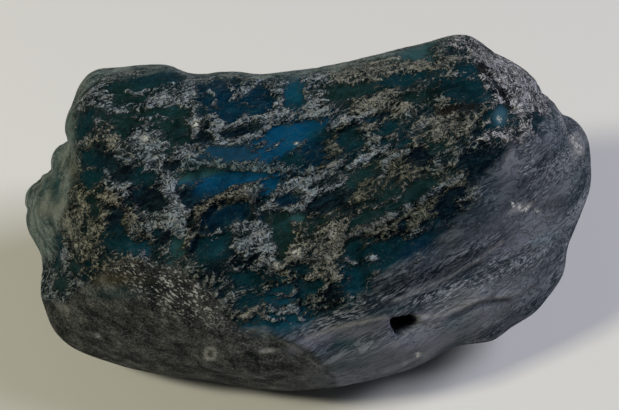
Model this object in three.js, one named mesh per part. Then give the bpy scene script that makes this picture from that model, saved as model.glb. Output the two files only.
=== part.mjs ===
// A waterworn piece of rough blue apatite, made as one solid.
//
// The stone is laid out in the frame of its broad face, in millimetres:
//   x runs across the stone, y up the broad face, z out of it.
// It is then tipped up until it lies on its worn underside, so that in the
// finished part +Z is up and the origin is under the middle of the stone.
import * as THREE from "three";
import { mergeVertices } from "three/addons/utils/BufferGeometryUtils.js";
import { ImprovedNoise } from "three/addons/math/ImprovedNoise.js";

// --------------------------------------------------------------- driving sizes
const FACE_SLOPE = THREE.MathUtils.degToRad(40); // broad face from level, facing -Y
const REST_DEPTH = 14.3; // centre of the stone to the flat that it lies on
const EDGE_WEAR = 11; // higher keeps the edges between worn faces sharper
const WALL_BULGE = 22; // half height of the round that the girdle's wall follows
const WALL_TAPER = 0.06; // how much the wall narrows towards the broad face
const LEAST_WALL = 0.05; // least share of the wall where the faces nearly reach the girdle
const FRONT_REACH = 0.45; // how far the outline's detail runs forward, in radians
const BACK_REACH = 0.3; // and how far it runs back
const MESH_DETAIL = 19; // icosahedron splits: 20 * (detail + 1)^2 triangles
const MESH_STRETCH = [1.35, 1, 0.9]; // how the ball of the mesh is stretched to start with
const EVENING_PASSES = 30; // passes that even out the mesh's spacing

// ------------------------------------------------------------------ the girdle
// The outline seen square to the broad face, with its lobes and notches.
const GIRDLE = [
  [-23.1, 14.0], [-21.9, 14.9], [-19.0, 15.4], [-16.8, 15.6], [-14.8, 15.4],
  [-13.3, 14.9], [-12.1, 14.5], [-10.3, 14.7], [-8.1, 14.9], [-5.9, 14.7],
  [-4.1, 14.3], [-2.2, 14.7], [1.5, 15.2], [5.9, 16.1], [10.4, 17.4],
  [13.7, 18.1], [15.5, 18.7], [17.4, 18.5], [19.4, 17.3], [21.5, 16.3],
  [23.5, 14.8], [24.9, 13.1], [25.6, 11.6], [27.1, 11.2], [28.7, 9.7],
  [29.8, 7.8], [30.1, 5.9], [30.1, 2.6], [29.3, 0.3], [27.8, -3.4],
  [27.5, -5.4], [26.8, -7.6], [25.5, -9.2], [23.8, -10.7], [21.5, -12.1],
  [19.4, -13.6], [17.4, -13.8], [15.1, -14.3], [13.1, -15.5], [7.8, -17.3],
  [1.5, -18.4], [-1.7, -18.7], [-9.6, -17.7], [-14.6, -17.1], [-19.0, -16.3],
  [-21.9, -15.3], [-24.6, -14.1], [-25.9, -13.0], [-27.4, -11.3], [-28.2, -9.5],
  [-28.2, -8.3], [-27.8, -5.4], [-28.0, -4.3], [-28.6, -3.1], [-29.5, -1.4],
  [-29.9, 0.3], [-29.7, 1.8], [-28.9, 3.0], [-27.9, 3.8], [-26.9, 5.2],
  [-25.5, 7.5], [-25.3, 9.4], [-24.9, 10.9], [-24.0, 12.7],
];

// ------------------------------------------------------------------ worn faces
// Each is [outward direction, distance from the stone's centre].
const WORN_FACES = {
  broad: [[-0.03, 0.06, 1.0], 12.6],
  lower_right: [[0.42, -0.45, 0.79], 16.0],
  right: [[0.63, -0.26, 0.73], 20.8],
  right_end: [[0.68, 0.3, 0.67], 25.4],
  lower_left: [[-0.17, -0.55, 0.82], 15.8],
  left_end: [[-0.78, -0.05, 0.62], 23.4],
  top_edge: [[-0.12, 0.88, 0.45], 17.4],
  back: [[0.05, 0.3, -0.95], 13.0],
  back_left: [[-0.62, 0.15, -0.77], 22.5],
  back_right: [[0.66, 0.1, -0.74], 23.6],
  back_top: [[0.2, 0.68, -0.7], 17.4],
  underside: [[0.0, -0.64, -0.77], 14.8],
  under_right: [[0.62, -0.5, -0.6], 22.6],
  under_left: [[-0.6, -0.5, -0.62], 23.4],
};

// ---------------------------------------------------------------------- relief
// Places are [x, y] as seen square to the broad face. A swell is a rounded
// rise, or a hollow where its height is below 0, with its half length, half
// width and turn in degrees. A crease is a groove along a path. A ledge climbs
// a step on the left of its path and then runs back down.
const FRONT = {
  side: 1,
  swells: {
    hill_crest: { at: [-7.5, -11.8], size: [12, 4.6], turn: -27, height: 1.5 },
    hill_shoulder: { at: [-19, -10], size: [9, 5.5], turn: -4, height: 0.9 },
    valley_by_hill: { at: [0.5, -9.4], size: [9, 3.4], turn: -33, height: -1.3 },
    polished_trough: { at: [18.5, -4.4], size: [15, 4.6], turn: 37, height: -1.3 },
    trough_lip: { at: [15, -9.8], size: [15, 2.6], turn: 24, height: 0.9 },
    left_lobe: { at: [-26.6, 0.6], size: [4.4, 4], turn: 80, height: 0.8 },
    upper_left_shoulder: { at: [-22.5, 8.5], size: [6, 4.5], turn: 60, height: 0.8 },
    waist_below_lobe: { at: [-26, -5.4], size: [4.4, 2.8], turn: 10, height: -0.8 },
    upper_blue_hollow: { at: [-0.8, 7.8], size: [5.6, 2.8], turn: 12, height: -0.7 },
    lower_blue_hollow: { at: [-8.4, 3], size: [6.4, 2.4], turn: 12, height: -0.7 },
    dark_hollow: { at: [-8, -2], size: [4.6, 2.8], turn: 24, height: -0.7 },
    left_hollow: { at: [-16.2, -1], size: [3.8, 2.8], turn: -50, height: -0.6 },
    upper_left_hollow: { at: [-16.5, 9.6], size: [5, 2.8], turn: 12, height: -0.6 },
    peak_beak: { at: [15.4, 14.2], size: [5, 4], turn: 30, height: 0.8 },
    right_shoulder: { at: [23.5, 7.4], size: [5.5, 3.2], turn: -50, height: 0.6 },
    face_belly: { at: [6, 1.5], size: [11, 6], turn: 25, height: 0.6 },
  },
  creases: {
    seam: { path: [[-12, 13], [-11.9, 9.8], [-11.2, 6.4]], width: 2.2, depth: 0.6 },
    between_lobes: { path: [[-25.4, 8.2], [-24.8, 5], [-25, 2.2]], width: 2, depth: 0.6 },
    right_step: { path: [[25.4, 11.7], [26.6, 9.8], [27.1, 7.4]], width: 2, depth: 0.6 },
    over_lip: { path: [[3.5, -12.4], [9.2, -11.4], [15.4, -9.2]], width: 2, depth: 0.6 },
  },
  ledges: {
    top: { path: [[-1, 10.4], [6, 12], [12.5, 13.6]], height: 0.5, run: 3.4 },
    upper: { path: [[-13.5, 4.8], [-5.2, 5.4], [1.6, 7.6], [6.5, 9.6]], height: 0.6, run: 4 },
    middle: { path: [[-15.4, -0.6], [-9.2, 0.6], [-2.5, 3], [5, 6.4]], height: 0.65, run: 4 },
    lower: { path: [[-12.6, -5.6], [-4.6, -4.8], [3.5, -1.8], [11.5, 2.6]], height: 0.65, run: 4.4 },
  },
};
const BACK = {
  side: -1,
  swells: {
    long_hollow: { at: [-8, 6], size: [11, 5], turn: 20, height: -1.5 },
    top_lump: { at: [9, 8], size: [8, 5], turn: -25, height: 1.3 },
    small_hollow: { at: [17, 3], size: [5.5, 3.6], turn: 50, height: -1.1 },
    left_lump: { at: [-19, 2], size: [6, 4.5], turn: 70, height: 1 },
    low_lump: { at: [-2, -3], size: [9, 4], turn: -15, height: 0.8 },
    scoop: { at: [24, -4], size: [5, 4], turn: 75, height: -0.9 },
  },
  creases: {
    old_crack: { path: [[-21, 10], [-12, 6.5], [-3, 7.5], [5, 4]], width: 2.2, depth: 0.8 },
    branch: { path: [[-3, 7.5], [2, 10.5], [7, 12.5]], width: 2, depth: 0.6 },
  },
  ledges: {
    long: { path: [[-15, 0.5], [-4, -1.5], [8, -0.5], [17, -4]], height: 1, run: 5.5 },
    short: { path: [[10, 4], [16, 7], [22, 7.5]], height: 0.8, run: 4 },
  },
};
const LEDGE_RISE = 1.5; // width of a ledge's steep side
const LEDGE_FADE = 4; // how far a ledge fades in from each end of its path
const WANDER = 2; // how far rims and paths wander from side to side
const WANDER_LENGTH = 5.5; // and over what distance
const SIDE_BLEND = 5; // depth over which one side's relief gives way to the other's

// Gentle waves worn into the whole skin, less of them at the girdle, whose
// outline already has its own.
const WAVES = [
  { length: 13, height: 0.55 },
  { length: 6.5, height: 0.3 },
  { length: 3.8, height: 0.16 },
];
const GIRDLE_WAVES = 0.3; // share of the waves' height at the girdle
const GIRDLE_BELT = 6; // depth over which they come to full height

// ----------------------------------------------------------------- small tools
const V3 = THREE.Vector3;
const radians = THREE.MathUtils.degToRad;
const smooth = (t) => THREE.MathUtils.smoothstep(t, 0, 1);

// Radius of a closed outline at any angle about the centre, from a cubic
// through its points in order of angle.
function radiusByAngle(points) {
  const polar = points
    .map(([x, y]) => ({ angle: Math.atan2(y, x), r: Math.hypot(x, y) }))
    .sort((a, b) => a.angle - b.angle);
  const n = polar.length;
  const at = (i) => {
    const turns = Math.floor(i / n);
    const p = polar[i - turns * n];
    return { angle: p.angle + turns * 2 * Math.PI, r: p.r };
  };
  return (angle) => {
    const next = polar.findIndex((p) => p.angle > angle);
    const i = (next < 0 ? n : next) - 1;
    const [a, b, c, d] = [at(i - 1), at(i), at(i + 1), at(i + 2)];
    const span = c.angle - b.angle;
    const t = (angle - b.angle) / span;
    const slopeB = ((c.r - a.r) / (c.angle - a.angle)) * span;
    const slopeC = ((d.r - b.r) / (d.angle - b.angle)) * span;
    const bend = t * (1 - t) ** 2 * slopeB - t * t * (1 - t) * slopeC;
    return THREE.MathUtils.lerp(b.r, c.r, smooth(t)) + bend;
  };
}

// The same radius averaged over an arc, which leaves the stone's plain form.
function averaged(radius, halfArc, samples) {
  const byDegree = Array.from({ length: 360 }, (_, degree) => {
    let sum = 0;
    for (let k = -samples; k <= samples; k++) {
      const turned = radians(degree) + (halfArc * k) / samples;
      sum += radius(Math.atan2(Math.sin(turned), Math.cos(turned)));
    }
    return sum / (2 * samples + 1);
  });
  return (angle) => {
    const degrees = THREE.MathUtils.euclideanModulo(THREE.MathUtils.radToDeg(angle), 360);
    const low = Math.floor(degrees);
    return THREE.MathUtils.lerp(byDegree[low % 360], byDegree[(low + 1) % 360], degrees - low);
  };
}

// How far [x, y] is off a path, the same with the sign of its side (left is
// above 0), and how far the nearest place on the path is from the path's ends.
function besidePath(x, y, path) {
  let best = { off: Infinity };
  let walked = 0;
  for (let i = 0; i + 1 < path.length; i++) {
    const [ax, ay] = path[i];
    const [bx, by] = path[i + 1];
    const length = Math.hypot(bx - ax, by - ay);
    const [ux, uy] = [(bx - ax) / length, (by - ay) / length];
    const along = THREE.MathUtils.clamp((x - ax) * ux + (y - ay) * uy, 0, length);
    const off = Math.hypot(x - ax - ux * along, y - ay - uy * along);
    if (off < best.off) {
      const left = Math.sign((y - ay) * ux - (x - ax) * uy);
      best = { off, signed: left * off, fromStart: walked + along };
    }
    walked += length;
  }
  best.fromEnd = Math.min(best.fromStart, walked - best.fromStart);
  return best;
}

// ------------------------------------------------------------------- the block
const girdleRadius = radiusByAngle(GIRDLE);
const plainRadius = averaged(girdleRadius, 0.3, 8);
const faces = Object.values(WORN_FACES).map(([n, distance]) => ({
  n: new V3(...n).normalize(),
  distance,
}));

function facesTerm(p) {
  return faces.reduce((sum, { n, distance }) => {
    return sum + Math.max(0, n.dot(p) / distance) ** EDGE_WEAR;
  }, 0);
}

// What the faces leave for the girdle's wall, so that the outline keeps its size.
function wallShare(angle, radius) {
  const rim = new V3(Math.cos(angle), Math.sin(angle), 0).multiplyScalar(radius);
  return Math.max(LEAST_WALL, 1 - facesTerm(rim));
}

// How many times the block would have to grow to reach a point: 1 on its skin.
// A power mean joins the wall and the worn faces, and rounds the edges between.
function blockGauge(p) {
  const rho = Math.hypot(p.x, p.y);
  const angle = Math.atan2(p.y, p.x);
  const lift = Math.atan2(p.z, rho);
  const detail = Math.exp(-((lift / (lift > 0 ? FRONT_REACH : BACK_REACH)) ** 2));
  const radius = THREE.MathUtils.lerp(plainRadius(angle), girdleRadius(angle), detail);
  const wall = Math.hypot(rho / radius, (p.z + WALL_TAPER * rho) / WALL_BULGE);
  const sum = wallShare(angle, radius) * wall ** EDGE_WEAR + facesTerm(p);
  return sum ** (1 / EDGE_WEAR);
}

// ----------------------------------------------------------- relief on the skin
function swell(p, { at, size, turn, height }) {
  const [dx, dy] = [p.x - at[0], p.y - at[1]];
  const [c, s] = [Math.cos(radians(turn)), Math.sin(radians(turn))];
  const away = Math.hypot((dx * c + dy * s) / size[0], (dy * c - dx * s) / size[1]);
  return away < 1 ? height * (1 - away * away) ** 2 : 0;
}

function crease(p, { path, width, depth }) {
  const away = besidePath(p.x, p.y, path).off / width;
  return away < 1 ? -depth * (1 - away * away) ** 2 : 0;
}

function ledge(p, { path, height, run }) {
  const { signed, fromEnd } = besidePath(p.x, p.y, path);
  const up = smooth(signed / LEDGE_RISE + 1);
  const down = 1 - smooth(signed / run);
  return height * up * down * smooth(fromEnd / LEDGE_FADE);
}

const noise = new ImprovedNoise();

function waves(p) {
  return WAVES.reduce((sum, { length, height }) => {
    return sum + height * noise.noise(p.x / length + 3.7, p.y / length - 3.7, p.z / length + 7.4);
  }, 0);
}

// The place where relief is read is shifted a little, so that rims wander.
function wandered(p) {
  const q = p.clone().divideScalar(WANDER_LENGTH);
  const dx = WANDER * noise.noise(q.x + 0.4, q.y - 0.4, q.z);
  const dy = WANDER * noise.noise(q.x + 5.2, q.y - 5.2, q.z);
  return new V3(p.x + dx, p.y + dy, p.z);
}

function sideRelief(p, { side, swells, creases, ledges }) {
  const share = smooth((side * p.z) / SIDE_BLEND + 0.5);
  if (share === 0) return 0;
  let height = 0;
  for (const form of Object.values(swells)) height += swell(p, form);
  for (const form of Object.values(creases)) height += crease(p, form);
  for (const form of Object.values(ledges)) height += ledge(p, form);
  return share * height;
}

function relief(p) {
  const fromGirdle = smooth(Math.abs(p.z) / GIRDLE_BELT);
  const place = wandered(p);
  const forms = sideRelief(place, FRONT) + sideRelief(place, BACK);
  return forms + waves(p) * THREE.MathUtils.lerp(GIRDLE_WAVES, 1, fromGirdle);
}

// ------------------------------------------------------------------- the stone
const restNormal = new V3(0, -Math.sin(FACE_SLOPE), -Math.cos(FACE_SLOPE));

// The skin's point in a direction from the centre, cut off flat where it rests.
function skin(direction) {
  const p = direction.clone().divideScalar(blockGauge(direction));
  p.addScaledVector(direction, relief(p));
  const depth = p.dot(restNormal);
  return depth > REST_DEPTH ? p.multiplyScalar(REST_DEPTH / depth) : p;
}

// The points that share a triangle with each point of a mesh.
function neighboursOf(geometry) {
  const index = geometry.index.array;
  const near = Array.from({ length: geometry.getAttribute("position").count }, () => new Set());
  for (let i = 0; i < index.length; i += 3) {
    for (const [a, b, c] of [[0, 1, 2], [1, 2, 0], [2, 0, 1]]) {
      near[index[i + a]].add(index[i + b]).add(index[i + c]);
    }
  }
  return near;
}

// A ball's mesh is pushed out to the skin, then evened out: each point turns to
// the mean direction of its neighbours and is set back on the skin.
function buildStone() {
  const ball = new THREE.IcosahedronGeometry(1, MESH_DETAIL);
  ball.deleteAttribute("normal");
  ball.deleteAttribute("uv");
  const geometry = mergeVertices(ball, 1e-5);
  const position = geometry.getAttribute("position");
  const near = neighboursOf(geometry);
  const stretch = new V3(...MESH_STRETCH);
  let points = near.map((_, i) => {
    return skin(new V3().fromBufferAttribute(position, i).multiply(stretch).normalize());
  });
  for (let pass = 0; pass < EVENING_PASSES; pass++) {
    points = near.map((around) => {
      const sum = new V3();
      for (const j of around) sum.add(points[j]);
      return skin(sum.normalize());
    });
  }
  points.forEach((p, i) => position.setXYZ(i, p.x, p.y, p.z));
  geometry.computeVertexNormals();
  return geometry;
}

const apatite = new THREE.MeshStandardMaterial({
  color: new THREE.Color(0.06, 0.12, 0.15),
  roughness: 0.45,
  metalness: 0,
});
const stone = new THREE.Mesh(buildStone(), apatite);
stone.name = "apatite_stone";
stone.rotation.x = FACE_SLOPE;
stone.position.z = REST_DEPTH;
const middle = new THREE.Box3().setFromObject(stone, true).getCenter(new V3());
stone.position.x = -middle.x;
stone.position.y = -middle.y;

const specimen = new THREE.Group();
specimen.add(stone);
export default specimen;
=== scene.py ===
"""A waterworn piece of rough blue apatite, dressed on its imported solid, on a pale studio floor."""
import math
from types import SimpleNamespace
import bmesh
import bpy
import numpy as np
from mathutils import Euler, Matrix, Vector


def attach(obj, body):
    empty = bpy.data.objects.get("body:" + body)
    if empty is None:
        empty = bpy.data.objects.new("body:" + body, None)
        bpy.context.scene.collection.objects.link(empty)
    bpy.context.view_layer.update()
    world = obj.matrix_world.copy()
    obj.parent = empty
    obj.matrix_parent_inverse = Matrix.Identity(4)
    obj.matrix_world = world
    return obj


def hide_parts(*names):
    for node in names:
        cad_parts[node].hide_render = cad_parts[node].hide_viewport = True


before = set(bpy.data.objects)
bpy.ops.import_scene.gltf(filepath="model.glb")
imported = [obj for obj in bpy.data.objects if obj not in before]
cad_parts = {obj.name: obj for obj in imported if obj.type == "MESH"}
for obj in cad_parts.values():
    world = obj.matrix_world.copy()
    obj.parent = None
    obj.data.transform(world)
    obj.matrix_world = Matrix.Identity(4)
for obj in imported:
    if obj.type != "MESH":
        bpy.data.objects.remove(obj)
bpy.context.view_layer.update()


# ------------------------------------------------------------------ the stone's form
# One waterworn stone of rough blue apatite, in one piece. It grew in its host rock, broke
# free, and was tumbled by water until its old rough skin was rubbed through in places.
MM = 0.001
FACE_SLOPE = math.radians(40)  # the broad face, from level, turned to -Y
CENTRE = Vector((-0.17, 0.51, 14.3))  # of the stone, in mm
CORNER_GAP = 0.01 * MM  # within which the solid's loose corners are one
FINE_SPLITS = 2  # of each of the solid's faces, for the relief of the skin


def settle(piece):
    """Turns the piece into the plain mesh that its modifiers make."""
    bpy.context.view_layer.update()
    shapes = bpy.context.evaluated_depsgraph_get()
    made = bpy.data.meshes.new_from_object(
        piece.evaluated_get(shapes), preserve_all_data_layers=True, depsgraph=shapes)
    piece.modifiers.clear()
    piece.data = made


# The solid's loose triangles are joined at their corners, then split finely.
joined = bmesh.new()
joined.from_mesh(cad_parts["apatite_stone"].data)
bmesh.ops.remove_doubles(joined, verts=joined.verts, dist=CORNER_GAP)
stone_mesh = bpy.data.meshes.new("worn_apatite")
joined.to_mesh(stone_mesh)
joined.free()
stone = bpy.data.objects.new("worn_apatite", stone_mesh)
bpy.context.scene.collection.objects.link(stone)
split = stone.modifiers.new("split", "SUBSURF")
split.levels = FINE_SPLITS
split.render_levels = FINE_SPLITS
settle(stone)


def points_of(mesh):
    """The mesh's points in mm, one row each."""
    flat = np.empty(3 * len(mesh.vertices), np.float32)
    mesh.vertices.foreach_get("co", flat)
    return flat.reshape(-1, 3).astype(float) / MM


def rows(matrix):
    """A Blender matrix as a numpy one."""
    return np.array([list(row) for row in matrix])


# ------------------------------------------------------------------ the stone's markings
# Windows are worn through the frosted crust to clean blue apatite, and patches and veins of
# crust are left between them. The rind is old smooth skin at the left end and along the top,
# the hill is a pebbled swell at lower left, and the lower right is a waxy cleaved side.
SCREEN_GAMMA = 2.2


def display(red, green, blue):
    """A colour as a screen shows it, 0 to 255, as linear light."""
    return tuple((value / 255) ** SCREEN_GAMMA for value in (red, green, blue))


# All marks are drawn on the level of the broad face, in mm across and up it. Each is an oval
# or a path. An oval is given as its middle, half length, half width, turn in degrees and
# strength, and a path as its half width, its strength and the points that it runs through.
WINDOWS = {
    "bright blue": (display(0, 66, 99), [
        (-1.5, 8.0, 2.3, 0.75, 10, 1.6),
        (-2.6, 6.3, 1.7, 0.5, 22, 1.4),
        (-6.8, 3.55, 2.8, 0.4, 7, 1.6),
        (-8.9, 2.75, 1.3, 0.5, 15, 1.4),
        (-3.4, 2.9, 0.8, 0.45, 20, 1.3),
    ]),
    "lilac blue": (display(28, 64, 90), [
        (-7.2, 5.95, 1.7, 0.65, -4, 1.6),
    ]),
    "deep blue": (display(4, 38, 56), [
        (-8.4, 11.3, 1.9, 0.8, 0, 1.4),
        (-6.4, 10.2, 2.2, 0.6, 5, 1.2),
        (-4.4, 11.2, 1.0, 1.1, 0, 1.3),
        (-8.6, 12.6, 1.5, 0.4, 5, 1.0),
        (-7.4, 9.4, 0.8, 0.4, 0, 1.0),
        (0.6, 6.3, 1.0, 0.6, 30, 1.3),
        (1.0, 5.2, 0.9, 0.5, 10, 1.0),
        (-7.7, -0.3, 1.9, 0.65, 14, 1.5),
        (11.2, -3.2, 1.7, 0.6, 25, 1.3),
        (-1.6, 1.4, 1.0, 0.45, 18, 1.3),
        (-9.4, 2.2, 1.4, 0.5, 20, 1.2),
    ]),
    "sea blue": (display(18, 64, 82), [
        (-2.3, -10.4, 1.9, 0.8, -8, 1.2),
        (-1.0, 11.4, 0.9, 1.4, 0, 1.4),
        (-1.8, -7.7, 1.4, 0.7, 0, 1.0),
        (4.3, -6.4, 0.7, 1.2, 10, 1.1),
        (-16.6, -3.2, 0.7, 0.5, -30, 1.0),
    ]),
    "navy": (display(4, 17, 28), [
        (-18.4, 4.3, 1.5, 0.9, -40, 1.4),
        (-15.4, 1.3, 1.5, 0.9, -12, 1.6),
        (-11.4, 1.5, 0.9, 0.8, 20, 1.5),
        (-6.7, 7.95, 1.6, 0.35, 8, 1.3),
        (-9.9, 7.4, 0.7, 0.6, 0, 1.2),
        (2.3, 1.25, 1.9, 0.6, 20, 1.6),
        (13.6, 0.8, 0.8, 0.9, 30, 1.3),
        (14.8, 2.1, 0.8, 0.35, 10, 1.2),
        (9.3, -1.3, 0.8, 0.3, 35, 1.1),
        (16.2, 5.2, 1.3, 0.7, 20, 0.9),
        (17.0, 3.9, 0.7, 0.6, 30, 0.7),
        (10.9, 5.8, 0.7, 0.5, 0, 1.1),
        (6.9, 9.4, 1.0, 0.35, 20, 1.1),
        (-5.2, -4.5, 0.9, 0.25, 38, 1.4),
        (-7.1, -3.8, 0.6, 0.25, -30, 1.0),
        (-13.1, 4.6, 0.7, 0.35, 30, 1.2),
        (-18.3, -0.6, 0.6, 0.8, 0, 1.2),
        (-11.0, -0.6, 0.3, 0.7, -20, 1.2),
        (-10.9, -3.1, 0.35, 0.6, -20, 1.2),
        (-13.8, -2.1, 0.9, 0.35, -10, 1.1),
        (-8.3, -5.1, 0.8, 0.6, 0, 1.1),
        (12.5, -2.0, 1.0, 0.4, 25, 1.1),
        (2.7, -7.8, 0.7, 0.45, 10, 1.1),
    ]),
    "teal": (display(10, 43, 51), [
        (-14.2, 13.1, 2.0, 0.6, 0, 1.3),
        (-21.5, 9.2, 0.7, 0.7, 0, 1.1),
        (-21.8, 7.8, 0.7, 0.4, 20, 1.0),
        (-20.9, 3.5, 0.9, 0.6, 10, 1.2),
        (-21.2, 5.4, 0.5, 0.7, 0, 1.1),
        (-19.9, 5.0, 0.6, 0.5, 0, 0.9),
        (-15.7, 3.5, 1.2, 0.5, 10, 1.2),
        (-18.0, -2.5, 1.1, 1.0, 0, 1.5),
        (4.3, 7.1, 1.0, 0.9, 0, 1.3),
        (8.0, 8.4, 1.0, 0.5, 35, 1.1),
        (9.4, 7.0, 1.2, 0.4, 20, 1.0),
        (15.8, 12.0, 1.7, 0.9, 0, 1.3),
        (15.2, 14.4, 1.0, 0.5, 0, 1.1),
        (9.6, 13.0, 1.8, 0.6, 15, 0.9),
        (18.9, 9.4, 0.9, 0.9, 0, 1.3),
        (22.6, 9.2, 1.0, 0.5, -20, 1.0),
        (1.1, 7.8, 1.0, 0.7, 0, 1.2),
        (5.0, -4.8, 0.8, 1.6, 0, 1.2),
        (8.2, -3.3, 1.6, 0.4, 10, 1.1),
        (7.6, -4.6, 1.6, 0.5, 25, 1.0),
        (-7.6, -1.8, 0.5, 1.2, 0, 1.0),
        (-9.1, -3.8, 1.3, 0.9, 30, 1.2),
        (0.4, -7.0, 1.0, 0.4, 0, 1.0),
        (-0.3, -5.3, 0.8, 0.35, 0, 1.1),
        (-20.9, -4.8, 0.5, 0.4, 0, 1.2),
        (-24.3, -3.0, 0.6, 1.2, 0, 1.1),
        (-18.9, -6.4, 1.2, 0.4, 0, 0.9),
        (-5.6, -6.3, 1.4, 0.5, 0, 1.1),
        (-5.4, -8.2, 0.9, 0.5, 0, 1.0),
        (-1.2, 5.2, 0.8, 0.5, 0, 1.2),
    ]),
    "pale teal": (display(44, 78, 82), [
        (-12.4, -3.3, 0.5, 0.9, -10, 1.0),
        (-1.0, -0.3, 0.5, 0.3, 0, 0.9),
        (-10.2, 3.9, 1.8, 0.35, 12, 1.1),
        (10.6, 15.6, 1.2, 0.5, 12, 1.1),
        (4.4, 7.4, 0.5, 0.5, 0, 0.8),
    ]),
    "dark brown": (display(34, 29, 24), [
        (0.22, 2.4, [(17.2, 14.4), (18.3, 13.1), (19.2, 11.6), (20.1, 10.3)]),
        (0.18, 1.6, [(13.0, 9.8), (14.8, 10.2), (16.4, 10.4)]),
    ]),
    # partly painted highlight: the pale blue of this glossy dome stands for its sheen
    "milky blue and painted highlight": (display(66, 104, 122), [
        (18.9, 9.5, 0.42, 0.6, -10, 2.6),
    ]),
    "dark green": (display(22, 42, 41), [
        (-17.0, 11.6, 1.3, 0.9, 0, 1.3),
        (-15.6, 9.6, 3.2, 0.6, 8, 1.5),
        (-17.5, 8.3, 0.5, 1.0, 0, 1.2),
        (-12.7, 8.2, 1.0, 1.0, 0, 1.1),
        (3.4, 11.8, 1.4, 0.7, 0, 1.1),
        (5.6, 12.0, 1.2, 0.5, 0, 0.9),
        (11.4, 11.4, 1.4, 0.5, 10, 0.7),
        (11.0, 2.4, 1.8, 0.5, 28, 1.2),
        (5.0, 3.6, 1.6, 0.4, 35, 1.0),
        (0.7, -1.4, 1.4, 0.4, 30, 1.2),
        (4.2, -2.7, 1.0, 0.4, 30, 1.0),
        (5.2, -0.6, 1.0, 0.4, 30, 1.1),
        (7.8, 0.4, 1.3, 0.4, 15, 1.1),
        (8.2, 2.2, 1.4, 0.5, 20, 1.0),
        (-2.3, -1.9, 0.7, 1.5, 5, 1.6),
        (12.8, 6.6, 0.8, 0.5, 0, 1.0),
        (-24.0, -5.0, 0.4, 0.5, 0, 1.1),
        (-22.4, -5.0, 0.5, 0.4, 0, 1.1),
        (-23.7, -6.6, 0.4, 0.6, 0, 1.0),
        (-20.4, -0.6, 0.25, 1.8, 0, 1.1),
        (-21.4, -1.4, 0.25, 1.2, 0, 0.9),
    ]),
}
PATCHES = {
    "frosted white": (display(162, 176, 187), [
        (-15.5, 7.0, 1.4, 1.1, -20, 1.26),
        (-14.0, 11.4, 2.3, 0.8, 16, 0.9),
        (-13.2, -0.3, 1.2, 0.6, 0, 0.92),
        (-20.9, 11.2, 1.0, 0.5, 30, 0.84),
        (-11.2, 12.2, 0.5, 1.2, 0, 0.84),
        (-5.6, -2.3, 1.5, 1.4, 20, 1.26),
        (0.9, 11.5, 1.0, 1.6, -10, 1.09),
        (-2.9, 11.9, 0.6, 1.2, 10, 1.01),
        (-3.9, -4.9, 0.9, 0.6, 0, 0.92),
        (-1.0, 9.5, 2.0, 0.6, 5, 0.84),
        (-0.2, -3.6, 0.7, 0.3, 20, 0.84),
    ]),
    "streaky blue": (display(118, 146, 160), [
        (-6.5, 4.6, 3.2, 0.4, -2, 1.5),
        (-3.0, 4.2, 1.8, 0.4, -3, 1.3),
        (-4.6, 2.4, 0.5, 1.0, -30, 1.1),
    ]),
    "lilac grey": (display(212, 213, 220), [
        (20.6, 12.4, 3.0, 1.8, -40, 2.0),
        (19.0, 14.8, 2.4, 0.9, -30, 1.3),
        (21.8, 10.3, 1.4, 0.8, 10, 1.1),
        (20.0, 8.0, 1.6, 0.8, 10, 1.0),
    ]),
    "olive grey": (display(108, 112, 98), [
        (9.0, 4.6, 1.4, 1.1, 30, 1.01),
        (2.6, 6.0, 0.8, 1.2, -10, 0.92),
        (14.4, 3.4, 1.4, 0.6, 20, 0.92),
        (11.5, 0.8, 1.4, 0.35, 25, 0.76),
        (10.5, -0.6, 2.0, 0.35, 28, 0.76),
        (6.2, -1.3, 2.0, 0.4, 30, 0.84),
        (5.8, 2.2, 2.0, 0.8, 25, 0.59),
        (-16.9, -1.2, 0.7, 1.2, 20, 1.01),
    ]),
    "buff": (display(152, 154, 146), [
        (-19.2, 7.2, 0.8, 0.9, 20, 1.09),
        (-20.2, 5.8, 0.6, 0.4, 0, 0.84),
        (1.6, -2.6, 3.0, 1.3, 20, 1.34),
        (17.2, 15.6, 1.4, 0.5, 10, 0.92),
        (14.0, 8.8, 2.6, 0.9, 22, 1.26),
        (6.9, 10.6, 1.8, 0.8, 22, 1.18),
        (-6.3, 2.6, 1.2, 0.5, 12, 1.09),
        (5.8, 13.7, 2.2, 0.6, 8, 1.09),
        (12.0, 14.4, 2.2, 0.5, 8, 0.92),
        (2.7, -5.0, 1.6, 0.9, 0, 1.01),
        (-5.5, -9.6, 1.6, 0.5, 3, 1.01),
        (-18.2, -4.6, 1.4, 0.4, -10, 0.92),
        (-20.4, -2.6, 0.5, 1.6, 0, 1.01),
        (-21.8, -3.6, 0.5, 1.2, 10, 0.92),
        (-22.4, -0.2, 0.9, 1.8, 10, 1.2),
    ]),
}
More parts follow.
